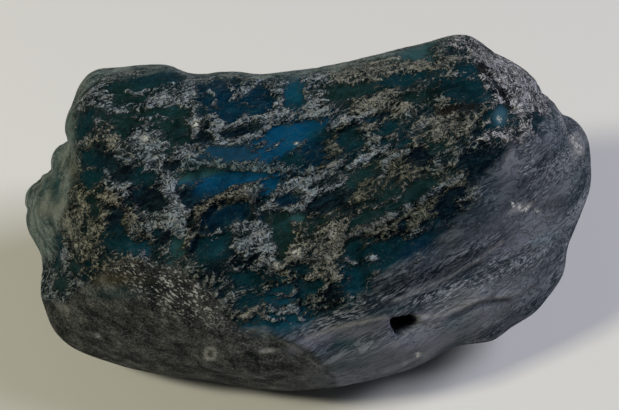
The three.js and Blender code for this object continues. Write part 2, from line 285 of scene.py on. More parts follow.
# Veins are all paths.
VEINS = {
    "grey": (display(154, 168, 180), [
        (0.18, 1.4, [(-19.3, 4.2), (-18.9, 3.2), (-18.2, 2.8), (-17.0, 3.0), (-16.2, 3.9),
                     (-15.2, 4.2), (-14.5, 3.3), (-13.9, 2.7)]),
        (0.32, 1.6, [(-18.0, 5.9), (-17.0, 5.2), (-15.5, 4.9), (-14.2, 4.3), (-13.4, 3.6),
                     (-13.2, 2.2), (-12.5, 1.3), (-11.8, 0.4), (-11.7, -1.6)]),
        (0.22, 1.5, [(-13.4, 3.6), (-12.9, 5.0), (-12.0, 5.8), (-10.9, 6.4), (-10.7, 8.0),
                     (-10.8, 10.5), (-11.2, 13.4)]),
        (0.18, 1.3, [(-17.6, 2.6), (-16.8, 1.5), (-16.3, 0.5), (-15.6, -0.3)]),
        (0.22, 1.3, [(-16.6, -1.2), (-14.5, -1.2), (-12.6, -1.5), (-11.5, -1.9)]),
        (0.25, 1.4, [(-16.9, -2.0), (-16.4, -3.2), (-15.3, -4.4)]),
        (0.18, 1.5, [(-9.3, 9.7), (-8.6, 9.6), (-8.4, 8.4), (-6.5, 8.8), (-4.6, 9.4),
                     (-2.8, 9.6), (-0.8, 9.8)]),
        (0.18, 1.4, [(-9.0, 8.0), (-8.3, 7.0), (-9.6, 6.6)]),
        (0.22, 1.5, [(-8.2, 6.9), (-6.2, 7.2), (-4.6, 7.7), (-3.7, 8.3), (-2.2, 9.0)]),
        (0.16, 1.4, [(-7.0, 11.1), (-5.4, 12.1), (-4.6, 13.0)]),
        (0.29, 1.4, [(-25.2, -4.4), (-24.4, -5.8), (-24.6, -7.4), (-23.6, -8.6)]),
        (0.22, 1.3, [(-23.4, -3.6), (-23.2, -5.4), (-22.2, -6.2), (-21.4, -7.2)]),
        (0.14, 1.5, [(-4.8, 5.2), (-3.4, 6.3), (-2.2, 7.2)]),
        (0.14, 1.5, [(-1.6, 5.6), (-0.6, 6.4), (0.3, 7.4)]),
        (0.18, 1.2, [(-21.9, 10.1), (-20.6, 10.4), (-19.0, 10.2), (-17.6, 9.9), (-16.2, 10.1),
                     (-13.5, 10.6), (-12.0, 11.0)]),
        (0.14, 1.1, [(-22.2, 7.2), (-21.0, 7.7), (-20.3, 8.6), (-20.2, 10.0)]),
        (0.25, 1.4, [(-5.3, 1.8), (-5.0, 0.4), (-4.6, -1.0), (-3.9, -2.6), (-3.3, -3.6)]),
        (0.22, 1.4, [(-4.1, 0.8), (-2.9, 1.9), (-1.5, 2.9), (0.5, 3.2), (2.2, 4.1), (3.6, 5.2)]),
        (0.22, 1.3, [(-3.7, 0.7), (-2.0, 0.5), (-0.6, 0.8), (0.6, 1.7), (1.7, 2.4), (3.6, 2.8)]),
        (0.16, 1.2, [(3.9, -2.4), (6.0, -1.4), (8.0, -0.3), (11.0, 1.3), (13.2, 2.7), (15.0, 3.6)]),
        (0.16, 1.3, [(7.3, 3.6), (7.8, 5.2), (9.2, 5.9), (10.2, 6.0)]),
        (0.16, 1.2, [(4.0, 4.5), (6.0, 5.6), (8.0, 6.4), (10.0, 7.6), (11.5, 8.6)]),
        (0.16, 1.1, [(2.2, 8.2), (3.4, 9.4), (5.0, 9.1), (6.4, 9.9)]),
        (0.18, 2.4, [(-2.0, -9.4), (-0.9, -9.6), (-0.3, -10.3)]),
        (0.15, 2.4, [(-3.4, -9.0), (-2.6, -9.6), (-1.6, -9.0)]),
        (0.15, 2.6, [(-4.0, -10.0), (-3.0, -10.4), (-2.0, -10.2), (-1.4, -10.7)]),
        (0.15, 2.6, [(3.8, -4.4), (4.8, -4.9), (5.6, -4.3), (6.6, -4.4)]),
        (0.15, 2.6, [(-0.9, -7.4), (-1.6, -8.0), (-2.6, -7.8)]),
        (0.12, 2.6, [(-9.4, 12.0), (-8.6, 11.4), (-8.9, 10.6), (-8.2, 10.2)]),
        (0.12, 2.6, [(-7.2, 12.4), (-6.8, 11.6), (-7.4, 10.9)]),
        (0.12, 2.6, [(-5.9, 10.9), (-5.2, 10.4), (-4.4, 10.6), (-3.6, 10.1)]),
        (0.12, 2.6, [(-17.4, 12.0), (-16.2, 11.6), (-15.2, 12.0)]),
        (0.12, 2.6, [(-17.0, 9.4), (-15.6, 9.2), (-14.2, 9.6), (-13.0, 9.2)]),
        (0.18, 1.3, [(4.3, -5.2), (4.3, -7.8), (4.7, -8.3), (5.9, -7.7)]),
    ]),
    "moss": (display(160, 160, 144), [
        (0.36, 1.2, [(-21.9, 1.6), (-21.0, 0.6), (-20.9, -1.2), (-20.9, -3.0)]),
        (0.29, 1.1, [(-19.9, 1.8), (-19.6, 0.2), (-19.8, -1.6)]),
        (0.29, 1.3, [(-21.0, -4.2), (-20.0, -5.4), (-18.4, -5.6), (-16.6, -5.0)]),
    ]),
    "straw": (display(150, 148, 136), [
        (0.22, 1.8, [(-11.4, -3.4), (-11.2, -2.0), (-10.6, -0.7), (-10.0, 0.4), (-8.9, 1.4),
                     (-7.4, 1.7), (-6.0, 2.0), (-5.1, 1.6)]),
        (0.22, 1.3, [(-19.5, 1.6), (-18.2, 1.0), (-17.0, 0.6), (-16.6, -0.5), (-16.0, -1.6)]),
        (0.14, 1.2, [(9.4, 2.6), (10.2, 3.2), (10.6, 3.9)]),
    ]),
}
# Lines that part the skin's regions, each with its region on the right as it runs.
WAXY_EDGE = [(-6.5, -11.6), (-3.4, -11.2), (0.0, -10.9), (2.0, -10.3), (4.0, -9.3), (5.0, -8.4),
             (6.3, -7.6), (6.4, -6.1), (8.0, -5.2), (11.0, -4.3), (13.0, -2.9), (14.2, -0.8),
             (15.2, 0.5), (16.3, 2.2), (17.4, 4.0), (18.7, 5.4), (19.6, 6.6), (21.0, 7.4),
             (22.8, 8.6), (23.4, 10.4), (25.0, 11.0), (31.0, 13.0)]
WAXY_THINNING = 0.45  # how far the crust thins out towards that edge,
WAXY_THINNED = (-3.0, 0.0)  # over these mm before it
HILL_EDGE = [(-31.0, -9.2), (-25.4, -8.6), (-23.0, -8.2), (-20.6, -6.4), (-18.6, -4.9), (-15.5, -4.5),
             (-13.0, -4.9), (-10.8, -6.2), (-9.0, -7.6), (-8.0, -9.6), (-6.5, -11.1), (-3.0, -11.9),
             (0.0, -13.1), (2.2, -15.0), (3.6, -19.0)]
RIND_EDGE = [(15.0, 17.4), (12.0, 16.4), (8.0, 15.2), (3.0, 13.7), (-4.0, 12.9), (-8.0, 13.3),
             (-11.3, 13.0), (-12.5, 13.6), (-17.0, 13.6), (-20.3, 12.6), (-22.0, 10.5),
             (-22.4, 8.0), (-22.2, 5.0), (-22.4, 2.6), (-23.0, 0.6), (-23.4, -1.4),
             (-24.0, -2.8), (-24.4, -4.6), (-30.0, -5.4)]
# Stains over the rind, the hill and the waxy side, given as the marks above are. The pale
# paths along lips and ledges are painted highlights on their edges, and the slate paths beside
# them painted shade under the ledges and in the grooves.
STAINS = {
    "teal glass": (display(24, 62, 68), [
        (14.6, -10.4, 1.2, 0.7, 10, 0.9),
        (26.2, 1.5, 0.9, 0.4, 20, 1.0),
        (26.4, 3.2, 0.7, 0.5, -60, 0.8),
        (3.8, -12.5, 1.0, 0.6, 0, 0.8),
        (8.4, -9.3, 2.0, 0.3, 10, 0.7),
        (-24.2, 2.8, 0.35, 1.4, 0, 1.3),
        (-25.2, 3.0, 0.3, 0.9, -15, 1.2),
        (-22.9, 9.0, 0.4, 2.4, 12, 0.6),
        (4.2, -14.6, 1.6, 0.4, 10, 0.6),
        (23.2, -2.4, 1.0, 0.4, 20, 0.5),
        (-9.6, 13.4, 0.8, 0.3, 0, 0.7),
        (-18.0, -7.6, 2.2, 0.5, 0, 0.5),
    ]),
    "dove grey": (display(119, 123, 130), [
        (18.5, -9.0, 7.0, 2.2, 22, 1.0),
        (8.0, -14.4, 6.0, 1.4, 14, 0.9),
        (24.5, -3.0, 2.4, 4.0, 0, 0.9),
        (24.0, 3.0, 2.6, 1.6, 0, 0.4),
        (21.2, -1.2, 2.0, 0.9, 25, 0.7),
    ]),
    "slate": (display(26, 36, 44), [
        # painted shade: this path and the next two run under ledges, beside pale painted highlights
        (0.2, 1.0, [(15.4, -9.4), (17.4, -8.7), (20.0, -8.4)]),
        (0.1, 0.6, [(-7.2, -11.0), (-4.0, -12.1), (-1.4, -13.5), (0.9, -15.4)]),
        (0.14, 0.8, [(8.7, -8.8), (11.7, -7.6), (14.2, -6.4), (17.1, -4.6)]),
        (16.6, -3.6, 1.6, 0.3, 22, 1.0),
        (20.9, 3.0, 1.2, 0.4, 22, 0.9),
        (22.0, -3.4, 1.0, 0.35, 10, 0.8),
        (19.0, -4.8, 2.4, 0.3, 30, 0.7),
        (9.4, -6.4, 2.8, 0.8, 22, 1.0),
        (13.0, -5.6, 2.2, 0.5, 25, 0.9),
        (15.8, -0.9, 1.4, 0.7, 20, 0.8),
        (7.0, -8.8, 2.4, 0.3, 12, 0.7),
        (17.8, -8.5, 1.6, 0.25, 10, 0.9),
        (22.8, -8.0, 1.0, 0.35, 30, 0.7),
        (20.6, 7.0, 0.8, 0.2, 20, 1.0),
        (24.2, 0.9, 1.2, 0.4, 10, 0.8),
        (23.4, 5.4, 1.2, 0.4, 25, 0.7),
        # painted shade: this path and the oval after it lie in the groove behind the lip
        (0.18, 1.0, [(23.8, 11.4), (24.8, 9.9), (25.5, 8.4)]),
        (24.6, 10.6, 0.8, 0.4, -50, 0.8),
    ]),
    "slate blue": (display(60, 72, 82), [
        (13.4, -3.6, 2.6, 0.8, 30, 0.8),
        (17.0, -0.6, 1.4, 1.2, 40, 0.8),
        (18.2, 2.2, 2.2, 1.2, 10, 0.7),
    ]),
    "lilac": (display(112, 114, 126), [
        (18.4, -1.0, 2.4, 0.7, 32, 0.8),
        (5.0, -11.3, 3.6, 0.5, 14, 0.8),
        (20.4, -2.8, 2.4, 0.6, 28, 0.8),
        (0.4, -12.3, 1.8, 0.6, 25, 0.9),
        (19.6, 3.4, 0.8, 2.4, -5, 0.8),
        (12.6, -10.2, 2.4, 0.3, 16, 0.8),
        (9.6, -12.6, 2.0, 0.6, 20, 0.7),
        (22.6, 6.8, 1.4, 0.6, 15, 0.6),
    ]),
    "pale": (display(168, 168, 166), [
        # painted highlights: the pale paths below run along the edges of lips and ledges
        (0.12, 0.9, [(0.0, -12.0), (3.0, -11.0), (6.0, -10.3), (7.8, -10.0)]),
        (0.1, 0.7, [(10.6, -9.9), (13.0, -9.8), (15.0, -9.0), (16.5, -8.2), (19.5, -7.9),
                    (21.0, -7.3), (24.0, -5.8)]),
        (0.12, 0.8, [(17.4, -10.8), (19.4, -10.0), (21.4, -8.9), (23.3, -7.9)]),
        (0.08, 0.4, [(-7.5, -10.5), (-4.0, -11.5), (-1.0, -12.9), (1.6, -15.0)]),
        (0.1, 0.6, [(8.5, -8.4), (11.5, -7.2), (14.0, -6.0), (17.0, -4.2), (19.0, -2.6)]),
        (0.1, 0.9, [(23.3, 11.2), (24.2, 9.7), (24.9, 8.1)]),
        (26.5, 6.8, 0.6, 1.3, -20, 1.1),
        (26.0, 7.4, 0.7, 0.3, 45, 1.1),
        (21.0, 12.8, 1.0, 2.4, 38, 0.7),
        (20.7, 0.5, 1.0, 0.22, 22, 1.1),
        (10.8, -13.6, 0.2, 0.15, 0, 1.2),
        (9.6, -14.4, 0.2, 0.15, 0, 1.2),
        (8.6, -12.6, 0.25, 0.15, 20, 1.2),
        (11.6, -13.9, 0.25, 0.15, 30, 1.2),
        (0.11, 0.9, [(-9.7, -13.5), (-9.4, -13.0), (-8.9, -13.0), (-8.7, -13.5), (-8.9, -14.0),
                     (-9.5, -14.0), (-9.7, -13.5)]),
        (-3.7, -13.2, 0.6, 0.16, 5, 1.2),
        (-20.0, -11.8, 0.2, 0.16, 0, 0.9),
        (-23.4, -9.0, 0.8, 0.25, -30, 0.3),
    ]),
    "olive": (display(66, 62, 42), [
        (-26.4, 2.2, 0.5, 0.9, -30, 0.8),
        (-22.4, 4.6, 0.4, 1.4, 0, 0.8),
        (-18.5, -6.3, 2.2, 0.5, 0, 0.7),
        (-18.0, 13.6, 1.4, 0.4, 5, 0.6),
    ]),
    "ice blue": (display(104, 132, 144), [
        (23.0, -2.4, 0.9, 0.35, 20, 0.9),
    ]),
    "bone": (display(106, 111, 105), [
        (21.2, -9.0, 2.6, 1.0, 28, 0.6),
        (-23.2, 0.8, 1.8, 1.2, -10, 0.7),
        (-23.6, 6.4, 0.6, 1.2, -20, 0.5),
        (-25.6, 0.2, 1.2, 0.6, 0, 0.6),
    ]),
}
# Lips and grooves in the skin: height in mm, half width, and the points that each runs through.
LIPS = [
    (-0.35, 0.3, [(18.0, 13.8), (19.2, 12.2), (20.3, 10.2)]),
    (0.4, 0.3, [(23.2, 11.2), (24.1, 9.7), (24.8, 8.1)]),
    (-0.4, 0.35, [(23.9, 11.6), (24.9, 10.1), (25.6, 8.6)]),
    (0.22, 0.28, [(10.8, -10.4), (13.6, -9.8), (15.8, -8.7), (18.2, -7.4)]),
    (-0.3, 0.35, [(14.0, -10.3), (16.6, -8.9), (19.2, -8.4)]),
    (0.25, 0.35, [(18.6, -8.0), (20.6, -7.4), (22.4, -6.4)]),
    (-0.4, 0.4, [(-23.9, 7.6), (-22.9, 6.8), (-22.5, 5.0), (-22.1, 2.8)]),
    (-0.4, 0.4, [(-25.8, 5.0), (-24.9, 4.5), (-24.3, 3.0), (-24.2, 1.4)]),
    (-0.3, 0.3, [(-25.7, 3.2), (-25.3, 1.6)]),
    (-0.35, 0.35, [(-26.8, 0.4), (-26.0, -1.4), (-25.3, -3.2)]),
    (0.4, 0.35, [(-11.4, -3.4), (-11.2, -2.0), (-10.6, -0.7), (-10.0, 0.4), (-8.9, 1.4),
                 (-7.4, 1.7), (-6.0, 2.0), (-5.1, 1.6)]),
    (-0.3, 0.35, [(-9.8, -0.4), (-8.8, 0.7), (-7.2, 0.9), (-5.8, 1.1)]),
    (0.25, 0.35, [(-3.0, -11.6), (0.0, -12.8), (1.6, -13.6)]),
]
# Swells and hollows of the outline: ovals, with the height in mm last.
SWELLS = [
    (-20.9, 12.7, 2.4, 1.4, 50, 0.55),
    (-24.2, 6.1, 1.2, 1.1, 0, 0.6),
    (-27.3, 0.0, 1.6, 1.2, 80, 0.2),
    (-13.4, 13.2, 1.4, 1.4, 0, 0.4),
    (18.6, 16.0, 4.0, 2.0, -38, -0.6),
]
# The corners of a pit in the waxy side, run so that the pit is on the right of every side of
# its rim, and its depth in mm.
PIT_RIM = [(8.2, -10.3), (8.7, -10.1), (10.4, -9.75), (11.0, -10.5), (10.2, -11.2),
           (9.0, -11.9), (8.5, -11.4), (8.2, -10.3)]
PIT_DEPTH = 1.2
PIT_WALL = (-0.15, 0.2)  # mm inside the rim, between which the pit's wall falls
# Ovals where clean crystal catches the light, each as its middle, half length, half width
# and turn.
GLINTS = [
    (-0.8, -3.7, 0.6, 0.3, 20), (-2.8, -5.1, 0.3, 0.4, 0), (-17.0, -3.1, 0.15, 0.15, 0),
    (18.9, 9.2, 0.2, 0.25, 20), (20.0, 0.9, 0.4, 0.13, -60), (20.6, 0.7, 0.5, 0.14, -60),
    (21.3, 0.5, 0.5, 0.14, 40), (22.2, 0.3, 0.3, 0.13, -50), (25.6, 7.4, 0.6, 0.13, -35),
    (26.2, 6.6, 0.7, 0.14, -35), (26.6, 5.8, 0.5, 0.13, -35), (10.8, -13.6, 0.25, 0.25, 0),
    (-15.4, 7.2, 0.5, 0.3, 0), (2.6, -1.8, 0.4, 0.3, 30), (-10.6, 8.6, 0.25, 0.5, 0),
    (-1.0, 6.9, 0.15, 0.15, 0),
]
# Bands of the waxy side that are rough with flecks, likewise.
FLECKED = [(13.2, -4.9, 6.4, 0.7, 31), (20.6, -4.5, 3.4, 1.1, 24), (3.6, -9.2, 3.6, 1.1, 22),
           (12.0, -7.8, 3.0, 0.4, 25), (23.4, 4.0, 2.0, 1.0, 20)]
GRAVEL = (-13.6, -6.9, 7.0, 2.2, -27)  # where the hill is roughest
# How the marks are laid on the stone, and where on it each kind begins.
DRAWN_FROM = 140.0  # mm above the stone's middle plane, where the marks are drawn from
DRAWN_AT = 12.0  # mm above it, the level that they are drawn on
DRAWN_CENTRE = np.array([0.37, 0.84])  # what lies straight below there, across and up
STREAK_TURN = math.radians(28)  # the crystal's grain runs up to the right
STREAK_STRETCH = np.array([2.6, 1.0, 1.0])  # of patterns along the grain
SLOPE_TURN = math.radians(-30)  # the hill's grit lies down to the right
SLOPE_STRETCH = np.array([1.7, 1.0, 1.0])
MARKED_LEVELS = (1.0, 5.0)  # mm above the middle plane, where the marks of the front set in
RELIEF_LEVELS = (-6.0, -3.0)  # where its lips and swells do
REAR_DEPTHS = (0.0, 4.0)  # mm below the plane, where the pattern of the back sets in
CALM_DEPTHS = (2.0, 7.0)  # mm off the plane, where the relief grows to its full height
CALM_SHARE = 0.35  # of that height, at the plane, which keeps the outline clean
FLAT_LEVELS = (0.05, 1.2)  # mm above the flat that it lies on, where the relief sets in
RETREAT_DEPTH = 1.0  # mm below the plane, past which the regions draw back
RETREAT = 1.2  # mm that they draw back for each mm of depth
CRUST_HOLD = 0.75  # how firmly the patches and veins hold against the windows
PLAIN_WEIGHT = 1e-3  # of the plain colour, where there is no mark
PLAIN_WINDOW = display(8, 26, 33)
PLAIN_CRUST = display(144, 155, 156)


def off_path(spots, path):
    """How far each spot is off a path, above 0 on its right as it runs."""
    best = np.full(len(spots), np.inf)
    signed = np.zeros(len(spots))
    for start, end in zip(path, path[1:]):
        start = np.array(start)
        along = np.array(end) - start
        length = np.hypot(*along)
        along = along / length
        beyond = spots - start
        walked = np.clip(beyond @ along, 0, length)
        gap = beyond - walked[:, None] * along
        off = np.hypot(gap[:, 0], gap[:, 1])
        right = np.sign(along[1] * beyond[:, 0] - along[0] * beyond[:, 1])
        nearer = off < best
        best = np.where(nearer, off, best)
        signed = np.where(nearer, right * off, signed)
    return signed


def in_rim(spots, rim):
    """How far spots are inside a rim that bulges everywhere, in mm, and below 0 outside it."""
    inside = np.full(len(spots), np.inf)
    for start, end in zip(rim, rim[1:]):
        start = np.array(start)
        run = np.array(end) - start
        away = spots - start
        inside = np.minimum(inside, (run[1] * away[:, 0] - run[0] * away[:, 1]) / math.hypot(*run))
    return inside


def in_oval(spots, across, up, length, width, turn):
    """How far out each spot is in an oval, 1 at its edge."""
    turn = math.radians(turn)
    dx = spots[:, 0] - across
    dy = spots[:, 1] - up
    along = (dx * math.cos(turn) + dy * math.sin(turn)) / length
    aside = (dy * math.cos(turn) - dx * math.sin(turn)) / width
    return np.hypot(along, aside)


def rise(values, low, high):
    """A smooth step from 0 at low to 1 at high."""
    share = np.clip((values - low) / (high - low), 0, 1)
    return share * share * (3 - 2 * share)


def marked(spots, marks, plain):
    """How strongly a set of marks shows at each spot, and the mean of their colours."""
    total = np.full(len(spots), PLAIN_WEIGHT)
    tint = total[:, None] * np.array(plain)
    for colour, shapes in marks:
        for *shape, last in shapes:
            if isinstance(last, list):
                width, strength = shape
                share = strength * np.exp(-0.5 * (off_path(spots, last) / width) ** 2)
            else:
                share = last * np.exp(-0.5 * in_oval(spots, *shape) ** 3)
            total += share
            tint += share[:, None] * np.array(colour)
    return total, tint / total[:, None]


def keep(mesh, name, kind, values):
    """Stores one value for each of the mesh's points."""
    attribute = mesh.attributes.new(name, kind, "POINT")
    if kind == "FLOAT":
        attribute.data.foreach_set("value", values.astype(np.float32))
    elif kind == "FLOAT_VECTOR":
        attribute.data.foreach_set("vector", values.astype(np.float32).ravel())
    else:
        opaque = np.ones((len(values), 4), np.float32)
        opaque[:, :3] = values
        attribute.data.foreach_set("color", opaque.ravel())


world_points = points_of(stone.data)
places = (world_points - np.array(CENTRE)) @ rows(Matrix.Rotation(FACE_SLOPE, 3, "X"))
level = places[:, 2]
streaks = (places @ rows(Matrix.Rotation(STREAK_TURN, 3, "Z"))) / STREAK_STRETCH
slopes = (places @ rows(Matrix.Rotation(SLOPE_TURN, 3, "Z"))) / SLOPE_STRETCH
nearness = (DRAWN_FROM - DRAWN_AT) / (DRAWN_FROM - level)
spots = DRAWN_CENTRE + (places[:, :2] - DRAWN_CENTRE) * nearness[:, None]

front = rise(level, *MARKED_LEVELS)
window, window_tint = marked(spots, WINDOWS.values(), PLAIN_WINDOW)
window_tint = window_tint * front[:, None] + np.array(PLAIN_WINDOW) * (1 - front[:, None])
crusted, crust_tint = marked(spots, [*PATCHES.values(), *VEINS.values()], PLAIN_CRUST)
stained, stain_tint = marked(spots, STAINS.values(), PLAIN_CRUST)
past_waxy_edge = off_path(spots, WAXY_EDGE)
thinned = WAXY_THINNING * rise(past_waxy_edge, *WAXY_THINNED)
retreat = np.maximum(-level - RETREAT_DEPTH, 0) * RETREAT
lips = sum(height * np.exp(-(off_path(spots, path) / width) ** 2) for height, width, path in LIPS)
swells = sum(height * np.exp(-in_oval(spots, *oval) ** 2) for *oval, height in SWELLS)
raised = (lips + swells) * rise(level, *RELIEF_LEVELS)
pit = rise(in_rim(spots, PIT_RIM), *PIT_WALL) * front
glint = sum(np.exp(-in_oval(spots, *oval) ** 4) for oval in GLINTS)
flecked = sum(np.exp(-in_oval(spots, *oval) ** 2) for oval in FLECKED)
gravelly = np.exp(-in_oval(spots, *GRAVEL) ** 4)

keep(stone.data, "place", "FLOAT_VECTOR", places)
keep(stone.data, "streak", "FLOAT_VECTOR", streaks)
keep(stone.data, "slope", "FLOAT_VECTOR", slopes)
keep(stone.data, "bare", "FLOAT", (window - CRUST_HOLD * crusted + thinned) * front)
keep(stone.data, "window_tint", "FLOAT_COLOR", window_tint)
keep(stone.data, "crust_tint", "FLOAT_COLOR", crust_tint)
keep(stone.data, "stained", "FLOAT", np.clip(stained, 0, 1) * front)
keep(stone.data, "stain_tint", "FLOAT_COLOR", stain_tint)
keep(stone.data, "past_waxy_edge", "FLOAT", past_waxy_edge - retreat)
keep(stone.data, "past_hill_edge", "FLOAT", off_path(spots, HILL_EDGE) - retreat)
keep(stone.data, "past_rind_edge", "FLOAT", off_path(spots, RIND_EDGE) - retreat)
keep(stone.data, "lips", "FLOAT", raised - PIT_DEPTH * pit)
# where the pit's floor is painted dark, as its shade
keep(stone.data, "pit", "FLOAT", pit)
keep(stone.data, "glint", "FLOAT", np.clip(glint, 0, 1) * front)
keep(stone.data, "flecked", "FLOAT", np.clip(flecked, 0, 1) * front)
keep(stone.data, "gravelly", "FLOAT", gravelly * front)
keep(stone.data, "rear", "FLOAT", rise(-level, *REAR_DEPTHS))
calm = CALM_SHARE + (1 - CALM_SHARE) * rise(np.abs(level), *CALM_DEPTHS)
keep(stone.data, "calm", "FLOAT", calm)
keep(stone.data, "free", "FLOAT", rise(world_points[:, 2], *FLAT_LEVELS))


# ------------------------------------------------------------------ the stone's skin
# The relief of the skin: the crust is frosted and eaten into, the windows are smooth, the
# hill is pebbled, the old rind lies in low folds, and the lower right is scored along the
# grain. Geometry nodes move the fine mesh in and out by it.
WINDOW_DEPTH = 0.3  # mm that the windows lie below the crust
CURL_RISE = 0.12  # mm, of the crust's curls
PEBBLE_RISE = 0.06
SCORE_DEPTH = 0.2
FOLD_DEPTH = 0.5
FOLD_STRETCH = (1.0, 0.35, 1.0)  # of the places that the rind's folds are read at
CRUST_EDGE = (0.0, 0.3)  # how open the skin is, from whole crust to whole window
MARK_PULL = 1.9  # how far the marks decide where the windows are, against chance
VEIN_COVER = 1.4
STRAND_COVER = 1.6
RAGGEDNESS = 4.2
REAR_PATCHES = 7.0  # how far the back's large patches decide it there
EDGE_WANDER = 3.5  # mm that the edges of the regions wander
REAR_WANDER = 22.0  # and round the back


class Value:
    """The output of a node, on which Python arithmetic adds Math nodes."""

    def __init__(self, graph, socket):
        self.graph = graph
        self.socket = socket

    def math(self, operation, *values):
        return self.graph.node("ShaderNodeMath", {"operation": operation}, dict(enumerate(values)))

    def __add__(self, other):
        return self.math("ADD", self, other)

    def __sub__(self, other):
        return self.math("SUBTRACT", self, other)

    def __mul__(self, other):
        return self.math("MULTIPLY", self, other)

    def __rsub__(self, other):
        return self.math("SUBTRACT", other, self)

    def __neg__(self):
        return self.math("MULTIPLY", self, -1)

    def __pow__(self, power):
        return self.math("POWER", self, power)

    __radd__ = __add__
    __rmul__ = __mul__


class Graph:
    """A node tree that nodes are added to, of a modifier or of a material."""

    def __init__(self, tree):
        self.tree = tree

    def feed(self, node, sockets):
        """Gives some of a node's sockets their values or links."""
        for name, given in sockets.items():
            if isinstance(given, Value):
                self.tree.links.new(given.socket, node.inputs[name])
            else:
                node.inputs[name].default_value = given

    def node(self, kind, settings=None, sockets=None, out=0):
        """Adds a node: its settings first, then the values or links of its sockets."""
        node = self.tree.nodes.new(kind)
        for name, setting in (settings or {}).items():
            setattr(node, name, setting)
        self.feed(node, sockets or {})
        return Value(self, node.outputs[out])

    def read(self, name, kind="FLOAT"):
        """A value that the stone's mesh keeps at its points."""
        if self.tree.bl_idname == "GeometryNodeTree":
            return self.node("GeometryNodeInputNamedAttribute", {"data_type": kind}, {"Name": name})
        out = {"FLOAT": "Fac", "FLOAT_VECTOR": "Vector", "FLOAT_COLOR": "Color"}[kind]
        return self.node("ShaderNodeAttribute", {"attribute_name": name}, out=out)

    def stretched(self, places, factors):
        """Places multiplied along each axis, so that a pattern on them is drawn out or in."""
        return self.node("ShaderNodeVectorMath", {"operation": "MULTIPLY"}, {0: places, 1: factors})

    def noise(self, places, size, detail=2.0, roughness=0.5, distortion=0.0):
        """Noise from 0 to 1, even at 0.5, with features of a size in mm."""
        sockets = {"Vector": places, "Scale": 1 / size, "Detail": detail,
                   "Roughness": roughness, "Distortion": distortion}
        return self.node("ShaderNodeTexNoise", {"noise_dimensions": "3D"}, sockets)

    def cells(self, places, size):
        """Distance to the nearest of a scatter of points, in cell sizes."""
        sockets = {"Vector": places, "Scale": 1 / size}
        return self.node("ShaderNodeTexVoronoi", {"feature": "F1"}, sockets)

    def rise(self, value, low, high):
        """A smooth step from 0 at low to 1 at high."""
        sockets = {"Value": value, "From Min": low, "From Max": high}
        return self.node("ShaderNodeMapRange", {"interpolation_type": "SMOOTHSTEP"}, sockets)

    def ridges(self, places, size, detail=2.0, distortion=0.0, width=0.07):
        """Thin curling crests, 1 on each crest and 0 away from it."""
        off = self.noise(places, size, detail, 0.55, distortion) - 0.5
        return 1 - self.rise(off.math("ABSOLUTE", off), 0.0, width)


def skin_shares(graph):
    """The shares of the skin at a place: how open it is, then its waxy side, hill and rind."""
    place = graph.read("place", "FLOAT_VECTOR")
    streak = graph.read("streak", "FLOAT_VECTOR")
    marks = graph.read("bare")
    rear = graph.read("rear")
    tracts = graph.noise(place, size=7.0, distortion=0.6) - 0.5
    pools = graph.noise(place, size=1.7, detail=1.0, distortion=0.8) - 0.5
    strips = graph.noise(streak, size=1.2, distortion=0.8) - 0.5
    ragged = graph.noise(streak, size=0.6, roughness=0.6, distortion=1.2) - 0.5
    veins = graph.ridges(streak, size=2.4, distortion=1.6, width=0.08)
    strands = graph.ridges(streak, size=1.0, distortion=1.2, width=0.085)
    unmarked = 1 - graph.rise(marks, 0.2, 0.9)  # where chance decides more
    chance = (pools + strips) * (unmarked * 1.6 + 1.8) + ragged * RAGGEDNESS
    bare = marks * MARK_PULL + 1.0 + chance
    bare = bare - veins * unmarked * VEIN_COVER - strands * STRAND_COVER
    bare = bare + rear * tracts * REAR_PATCHES
    wander = graph.noise(streak, size=1.6, detail=3.0, roughness=0.6, distortion=0.5) - 0.5
    wander = wander * EDGE_WANDER + rear * tracts * REAR_WANDER
    hill = graph.rise(graph.read("past_hill_edge") + wander * 0.5, -0.5, 0.6)
    waxy = graph.rise(graph.read("past_waxy_edge") + wander, -0.7, 0.9) * (1 - hill)
    rind = graph.rise(graph.read("past_rind_edge") + wander * 0.6, -0.4, 0.7) * (1 - hill)
    return bare, waxy, hill, rind * (1 - waxy)


